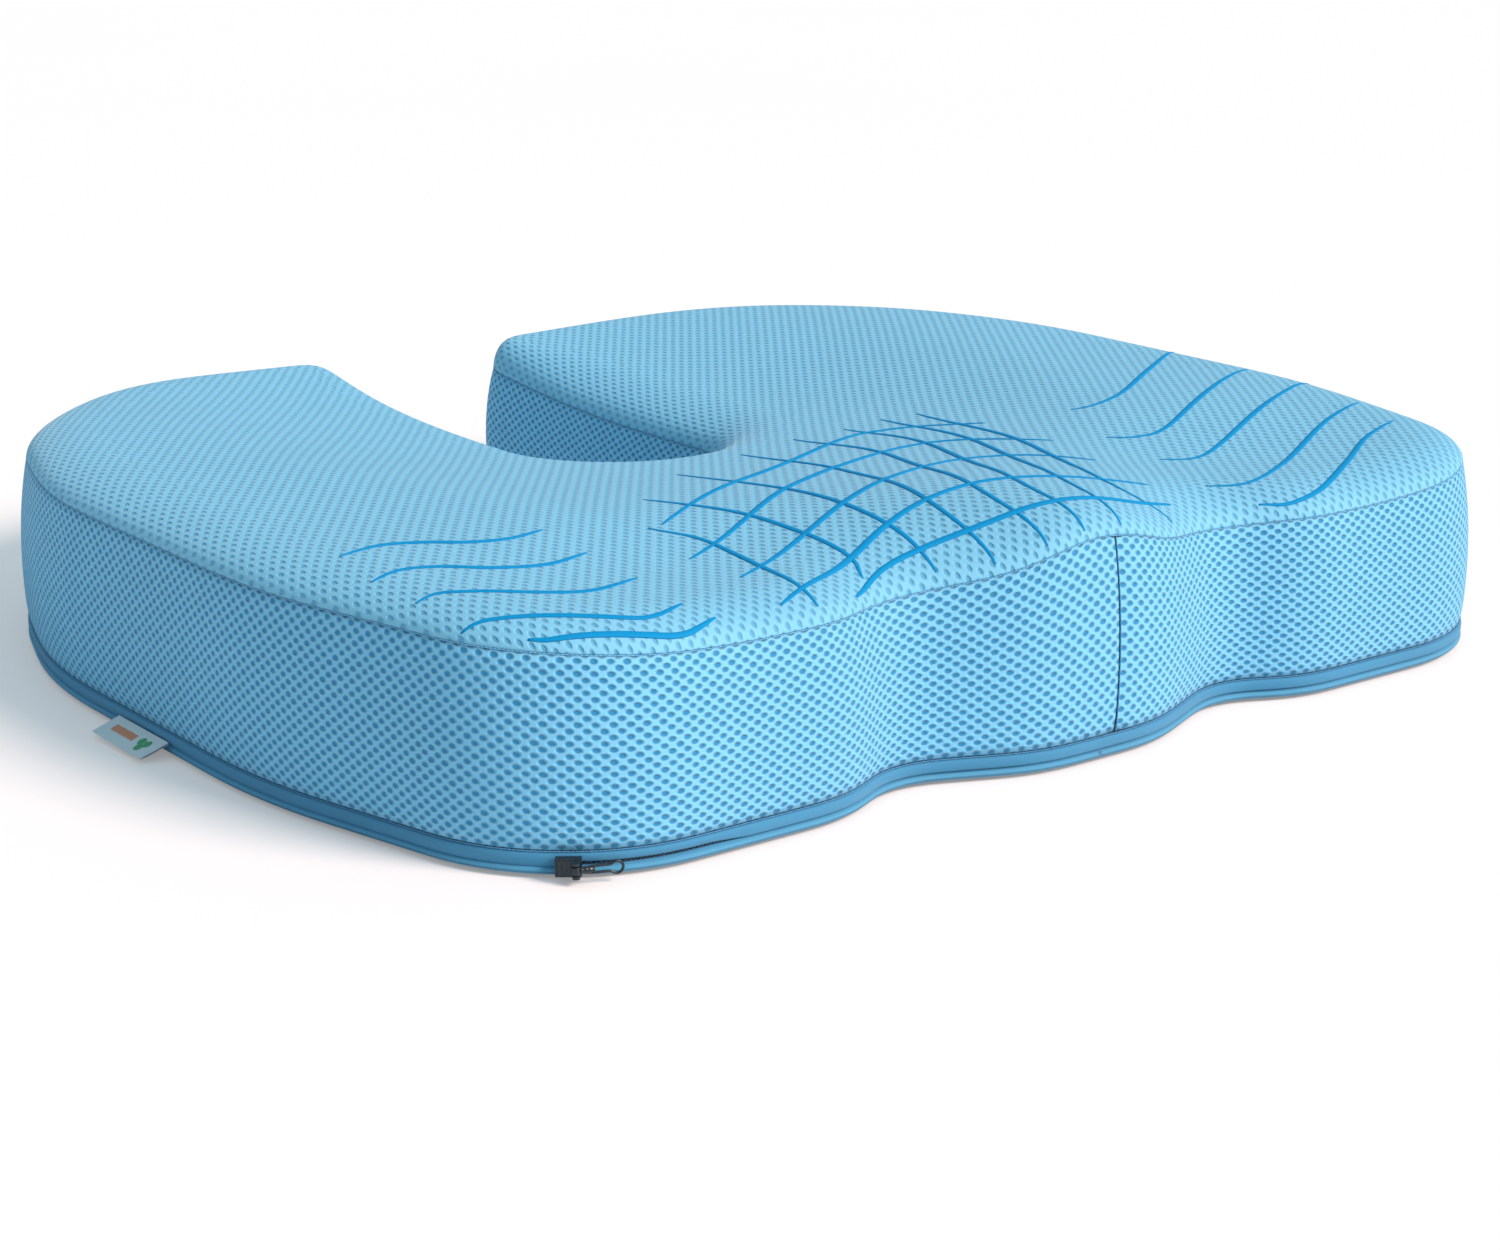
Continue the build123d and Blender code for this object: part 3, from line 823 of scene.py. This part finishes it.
def add_foam():
    """The foam block under the cover: a closed body with a crowned top and a flat base."""
    count = COARSE_RING
    points, faces, _ = top_shape(-FOAM_INSET, FOAM_INSET, count, spacing=8.0, tucked=False)
    distance = np.linspace(0, PLAN_LENGTH, count, endpoint=False)
    base, normal = plan_at(distance)
    xy = base - normal * (FOAM_INSET + 0.2)
    rim = points[:count, 2]
    rows = []
    for share in (0.0, 0.25, 0.5, 0.75, 0.97):
        swell = 0.9 * (1 - (2 * share - 1) ** 2)
        height = FOAM_BOTTOM + (rim - FOAM_BOTTOM) * share
        rows.append(np.column_stack([xy + normal * (swell - lean(share)), height]))
    start = len(points)
    wall = np.stack(rows)
    faces += [[corner + start for corner in face] for face in strip_faces(len(rows), count, True)]
    last = start + (len(rows) - 1) * count
    faces += [[last + i, last + (i + 1) % count, (i + 1) % count, i] for i in range(count)]
    flat, triangles = filled(xy, COARSE_SPACING)
    bottom_start = start + wall.shape[0] * count
    middle = flat[count:]
    bottom = np.column_stack([middle, np.full(len(middle), FOAM_BOTTOM)])

    def placed(corner):
        return start + corner if corner < count else bottom_start + corner - count

    faces += [[placed(corner) for corner in face[::-1]] for face in triangles]
    points = np.vstack([points, wall.reshape(-1, 3), bottom])
    piece = make_object("foam_block", (points, faces, points), foam_finish(), True)
    settle(piece, "cushion", ["foam_core"])


DOT_PITCH, DOT_RADIUS, DOT_EDGE = 28.0, 4.0, 10.0


def add_base():
    """Base cloth with rows of moulded grip dots."""
    distance = np.linspace(0, PLAN_LENGTH, COARSE_RING, endpoint=False)
    base, normal = plan_at(distance)
    loop = base - normal * 2.4
    flat, triangles = filled(loop, COARSE_SPACING)
    cloth = np.column_stack([flat, np.full(len(flat), PIPING_BOTTOM + 0.1)])
    parts = [(cloth, [face[::-1] for face in triangles], np.column_stack([flat, np.zeros(len(flat))]))]
    across, deep = ceil(WIDTH / 2 / DOT_PITCH), ceil(DEPTH / 2 / DOT_PITCH)
    columns, lines = range(-across, across + 1), range(-deep, deep + 1)
    spots = np.array([(i * DOT_PITCH, j * DOT_PITCH) for i in columns for j in lines])
    within, gap = inside(spots, loop)
    angles = np.linspace(0, 2 * pi, 20, endpoint=False)
    rim = np.stack([np.cos(angles), np.sin(angles)], 1)
    for spot in spots[within & (gap > DOT_EDGE)]:
        rows = []
        for share in (1.0, 0.93, 0.75, 0.45, 0.1):
            depth = PIPING_BOTTOM * (1 - share**4)
            xy = spot + rim * DOT_RADIUS * share
            rows.append(np.column_stack([xy, np.full(len(rim), PIPING_BOTTOM - depth)]))
        dome = np.concatenate(rows)
        faces = [face[::-1] for face in strip_faces(len(rows), len(rim), True)]
        faces.append([(len(rows) - 1) * len(rim) + i for i in range(len(rim))][::-1])
        marks = np.column_stack([dome[:, :2], np.ones(len(dome))])
        parts.append((dome, faces, marks))
    piece = make_object("base_cloth", joined(parts), base_finish())
    return settle(piece, "cushion", ["bottom_panel"])


# ---------------------------------------------------------------- printed contour lines
# Widest width of the lines of each group, how thick the ink is for its width, and the stops of each line
LEFT_INK, RIGHT_INK, ACROSS_INK, ALONG_INK = 2.5, 2.3, 2.8, 2.3
INK_THICKNESS = 0.3
LEFT_THIGH = [
    [(-199, -95), (-184, -92), (-172, -96), (-160, -103), (-147, -105), (-133, -101)],
    [(-203, -120), (-192, -118), (-181, -121), (-168, -129), (-152, -132), (-134, -126)],
    [(-202, -142), (-195, -142), (-187, -147), (-169, -157), (-155, -160), (-135, -153)],
    [(-201, -164), (-195, -166), (-187, -171), (-163, -185), (-153, -187), (-140, -182)],
    [(-190, -180), (-183, -185), (-161, -194), (-149, -196), (-136, -192)],
]
RIGHT_THIGH = [
    [(112, -70), (122, -72), (141, -66), (176, -44), (212, -21)],
    [(94, -107), (103, -112), (122, -109), (181, -76), (208, -64)],
    [(90, -137), (103, -141), (124, -133), (172, -109), (212, -91)],
    [(77, -171), (93, -176), (119, -165), (165, -141), (196, -129)],
    [(84, -188), (94, -193), (110, -191), (136, -178), (162, -163), (185, -155)],
]
HUMP_ACROSS = [
    [(-96, -111), (-30, -67), (35, -30), (62, -32), (84, -56)],
    [(-109, -143), (-72, -122), (0, -75), (47, -66), (76, -100)],
    [(-109, -168), (-45, -135), (14, -106), (43, -112), (64, -133)],
    [(-113, -192), (-48, -161), (-11, -154), (19, -160), (54, -168)],
    [(-84, -190), (-66, -180), (-48, -179), (-18, -184), (15, -188), (50, -182)],
]
HUMP_ALONG = [
    [(-102, -112), (-94, -134), (-100, -180), (-102, -195)],
    [(-81, -80), (-70, -119), (-70, -166), (-75, -182)],
    [(-39, -40), (-40, -100), (-48, -158), (-52, -188)],
    [(6, -16), (0, -75), (-29, -158), (-36, -196)],
    [(34, -10), (29, -65), (-11, -159), (-20, -201)],
    [(54, -14), (48, -66), (4, -161), (-6, -202)],
    [(71, -14), (61, -73), (20, -164), (9, -202)],
    [(83, -20), (70, -86), (37, -165), (40, -193)],
]


def smooth_line(stops, step=1.2):
    """A smooth line through the stops, with even points."""
    stops = np.array(stops, float)
    padded = np.vstack([2 * stops[0] - stops[1], stops, 2 * stops[-1] - stops[-2]])
    points = []
    for i in range(1, len(padded) - 2):
        a, b, c, d = padded[i - 1:i + 3]
        t = np.linspace(0, 1, 40, endpoint=False)[:, None]
        square, cube = (2 * a - 5 * b + 4 * c - d) * t**2, (3 * b - a - 3 * c + d) * t**3
        points.append(0.5 * (2 * b + (c - a) * t + square + cube))
    points = np.vstack([*points, stops[-1:]])
    distance = np.r_[0, np.cumsum(np.linalg.norm(np.diff(points, axis=0), axis=1))]
    even = np.linspace(0, distance[-1], max(4, int(distance[-1] / step)))
    return np.stack([np.interp(even, distance, points[:, k]) for k in (0, 1)], 1)


def add_print(top):
    """Lines of ink that lie on the top of the cover, thinner towards their ends."""
    places = np.zeros(3 * len(top.data.vertices), np.float32)
    top.data.vertices.foreach_get("co", places)
    corners = [tuple(face.vertices) for face in top.data.polygons]
    surface = BVHTree.FromPolygons(places.reshape(-1, 3).tolist(), corners)
    parts = []
    groups = (
        (LEFT_THIGH, LEFT_INK),
        (RIGHT_THIGH, RIGHT_INK),
        (HUMP_ACROSS, ACROSS_INK),
        (HUMP_ALONG, ALONG_INK),
    )
    for stops, ink in [(stops, ink) for lines, ink in groups for stops in lines]:
        line = smooth_line(stops)
        hits = [surface.ray_cast(Vector((x * MM, y * MM, 1.0)), Vector((0, 0, -1))) for x, y in line]
        hits = [hit for hit in hits if hit[0] is not None]
        centre = np.array([hit[0] for hit in hits]) / MM
        up = np.array([hit[1] for hit in hits])
        way = np.gradient(centre, axis=0)
        side = np.cross(way, up)
        side /= np.linalg.norm(side, axis=1)[:, None]
        share = np.linspace(0, 1, len(centre))
        width = ink / 2 * (0.25 + 0.75 * np.sin(pi * np.clip(share, 0.001, 0.999)) ** 0.5)
        parts.append(tube(centre + up * 0.1, side, up, width, False, around=8, flat=INK_THICKNESS))
    piece = make_object("contour_print", joined(parts), print_finish(), True)
    return settle(piece, "cushion", [])


# ---------------------------------------------------------------- label and zip pull
def add_label():
    """A folded satin tag: two layers with a soft fold at the tip and a slight sag."""
    lowest, highest = corner_box("side_label")
    width = highest[1] - lowest[1]
    middle = (highest[1] + lowest[1]) / 2
    root = np.array([highest[0], highest[2] - 0.4])
    tip = np.array([lowest[0], lowest[2] + 0.5])
    length = np.linalg.norm(tip - root)
    way = (tip - root) / length
    rise = np.array([way[1], -way[0]])
    if rise[1] < 0:
        rise = -rise
    half, half_gap = 14, 0.28
    share = np.r_[np.linspace(0, 1, half), np.linspace(1, 0, half)]
    gap = half_gap * np.sqrt(np.clip(1 - share**8, 0, 1)) * np.r_[np.ones(half), -np.ones(half)]
    columns = np.linspace(-0.5, 0.5, 24)
    points, weave = [], []
    for k, (part, lift) in enumerate(zip(share, gap)):
        for column in columns:
            curl = 0.5 * part**2 * (4 * column**2) + 0.25 * sin(2.2 * pi * column + 0.6) * part
            flat = root + way * length * part + rise * (lift + curl)
            points.append((flat[0], middle + column * width, flat[1]))
            weave.append((-column * width, length * part, 1.0 if k < half else 0.0))
    faces = strip_faces(len(share), len(columns), False)
    piece = make_object("label_tag", (np.array(points), faces, np.array(weave)), label_finish(), True)
    settle(piece, "label", ["side_label"])


def add_pull():
    """Wire pull: an eye round the pin, two strands that open into a loop, and a crimp."""
    joint = next(j for j in frame["joints"] if j["name"] == "pull_swing")
    pin = np.array(joint["pos_m"]) / MM
    lowest, highest = corner_box("zip_pull")
    far = np.array([highest[0] if highest[0] - pin[0] > pin[0] - lowest[0] else lowest[0], 0.0])
    far[1] = lowest[1] if abs(lowest[1] - pin[1]) > abs(highest[1] - pin[1]) else highest[1]
    way = np.array([far[0] - pin[0], far[1] - pin[1], 0.0])
    length = np.linalg.norm(way) - 0.6
    way /= np.linalg.norm(way)
    up = np.array([0.0, 0.0, 1.0])
    out = np.cross(way, up)
    loop_radius = 1.75
    ring_middle = length - loop_radius
    upper = [(1.2, 0.75), (3.0, 0.8), (5.0, 0.95), (ring_middle - 2.2, 1.0)]
    turn = np.radians(np.linspace(125, -125, 15))
    ring = [(ring_middle + loop_radius * cos(a), loop_radius * sin(a)) for a in turn]
    stops = upper + ring + [(x, -z) for x, z in upper[::-1]]
    line = smooth_line(stops, 0.25)
    centre = pin + line[:, :1] * way + line[:, 1:] * up
    step = np.gradient(line, axis=0)
    step /= np.linalg.norm(step, axis=1)[:, None]
    side = np.tile(out, (len(line), 1))
    across = -step[:, 1:] * way + step[:, :1] * up
    wire = tube(centre, side, across, 0.42, False, around=8)
    angles = np.linspace(0, 2 * pi, 24, endpoint=False)
    rows = []
    for radius, z in ((0.8, -1.15), (1.15, -1.15), (1.25, -0.9), (1.25, 0.9), (1.15, 1.15), (0.8, 1.15)):
        xy = pin[:2] + radius * np.stack([np.cos(angles), np.sin(angles)], 1)
        rows.append(np.column_stack([xy, np.full(len(angles), pin[2] + z)]))
    eye_points = np.concatenate(rows)
    eye = (eye_points, strip_faces(len(rows), len(angles), True, closed_rows=True), eye_points)
    reach = np.linspace(1.0, 5.2, 12)
    swell = 1.25 - 0.25 * ease(3.0, 5.2, reach) + 0.08 * np.cos(reach * 2 * pi / 1.3)
    crimp_side, crimp_up = np.tile(out, (len(reach), 1)), np.tile(up, (len(reach), 1))
    crimp = tube(pin + reach[:, None] * way, crimp_side, crimp_up, swell * 0.8, False, around=12)
    finish = lacquer("pull_lacquer", (0.012, 0.013, 0.016), 0.32)
    piece = make_object("pull_wire", joined([wire, eye, crimp]), finish, True)
    settle(piece, "pull", ["zip_pull"])


def finish_hardware():
    """Finishes of the CAD nodes that stay: the slider and the stops."""
    slider = lacquer("slider_lacquer", (0.014, 0.015, 0.018), 0.3)
    stop = lacquer("stop_lacquer", (0.03, 0.03, 0.034), 0.35)
    for name, material in (("zip_slider", slider), ("zip_end_stop", stop), ("zip_top_stops", stop)):
        node = frame["nodes"][name]
        node.data.materials.clear()
        node.data.materials.append(material)


# ---------------------------------------------------------------- stage
# Angles are in degrees, and azimuth 0 is in front. The camera's target and distance are in metres.
AMBIENT, AMBIENT_TINT = 0.51, (0.54, 0.85, 1.05, 1.0)
KEY_AZIMUTH, KEY_ELEVATION = 28.0, 38.0
KEY_STRENGTH, KEY_SOFTNESS = 2.95, 24.0
FLOOR_LIFT = 0.25  # the floor glows for camera rays, so that it meets the white world without an edge
FLOOR_HALF = 4000.0
CAMERA_AZIMUTH, CAMERA_ELEVATION, CAMERA_DISTANCE = -37.23, 16.46, 1.058
CAMERA_TARGET = Vector((0.0034, -0.0244, 0.0))
CAMERA_LENS, SENSOR = 72.0, 36.0


def add_stage():
    """Pale floor, soft studio light and the camera."""
    scene = bpy.context.scene
    add_floor()
    add_world(scene)
    add_key_light(scene)
    scene.view_settings.view_transform = "Standard"
    add_camera(scene)


def add_floor():
    """A pale floor: neutral grey for light, and for camera rays a warm tone that offsets the ambient tint."""
    n = Nodes("floor")
    broad = n.noise(n.place, 1.2, 2.0)
    seen = n.node("ShaderNodeLightPath").outputs["Is Camera Ray"]
    grey = n.mix(broad, (0.84, 0.84, 0.84), (0.87, 0.87, 0.87))
    warm = n.mix(broad, (0.98, 0.76, 0.68), (1.0, 0.78, 0.70))
    n.finish(n.mix(seen, grey, warm), 0.65)
    n.shader.inputs["Emission Color"].default_value = (1.0, 1.0, 1.0, 1.0)
    n.put(n.shader.inputs["Emission Strength"], n.math("MULTIPLY", seen, FLOOR_LIFT))
    corners = FLOOR_HALF * np.array([(-1, -1, 0), (1, -1, 0), (1, 1, 0), (-1, 1, 0)], float)
    make_object("floor", (corners, [[0, 1, 2, 3]], corners), n.material)


def add_world(scene):
    """A white world for camera rays and a tinted soft light for the rest."""
    scene.world = bpy.data.worlds.new("studio")
    scene.world.use_nodes = True
    tree = scene.world.node_tree
    seen, lit = tree.nodes["Background"], tree.nodes.new("ShaderNodeBackground")
    seen.inputs["Color"].default_value = (1, 1, 1, 1)
    seen.inputs["Strength"].default_value = 1.0
    lit.inputs["Color"].default_value = AMBIENT_TINT
    lit.inputs["Strength"].default_value = AMBIENT
    ray, blend = tree.nodes.new("ShaderNodeLightPath"), tree.nodes.new("ShaderNodeMixShader")
    tree.links.new(ray.outputs["Is Camera Ray"], blend.inputs[0])
    tree.links.new(lit.outputs[0], blend.inputs[1])
    tree.links.new(seen.outputs[0], blend.inputs[2])
    tree.links.new(blend.outputs[0], tree.nodes["World Output"].inputs[0])


def direction(azimuth, elevation):
    """Unit vector from the object towards a camera or light, azimuth 0 in front."""
    a, e = radians(azimuth), radians(elevation)
    return Vector((sin(a) * cos(e), -cos(a) * cos(e), sin(e)))


def add_key_light(scene):
    """One large soft light from the front right."""
    data = bpy.data.lights.new("key", "SUN")
    data.energy, data.angle = KEY_STRENGTH, radians(KEY_SOFTNESS)
    light = bpy.data.objects.new("key", data)
    light.rotation_euler = direction(KEY_AZIMUTH, KEY_ELEVATION).to_track_quat("Z", "Y").to_euler()
    scene.collection.objects.link(light)


def add_camera(scene):
    data = bpy.data.cameras.new("camera")
    data.lens, data.sensor_width = CAMERA_LENS, SENSOR
    data.clip_end = 100.0
    camera = bpy.data.objects.new("camera", data)
    away = direction(CAMERA_AZIMUTH, CAMERA_ELEVATION)
    camera.location = CAMERA_TARGET + away * CAMERA_DISTANCE
    camera.rotation_euler = away.to_track_quat("Z", "Y").to_euler()
    scene.collection.objects.link(camera)
    scene.camera = camera


top_cover = add_top()
bands = add_bands()
add_seams()
add_edge()
add_foam()
base_sheet = add_base()
add_print(top_cover)
add_label()
add_pull()
finish_hardware()
add_stage()
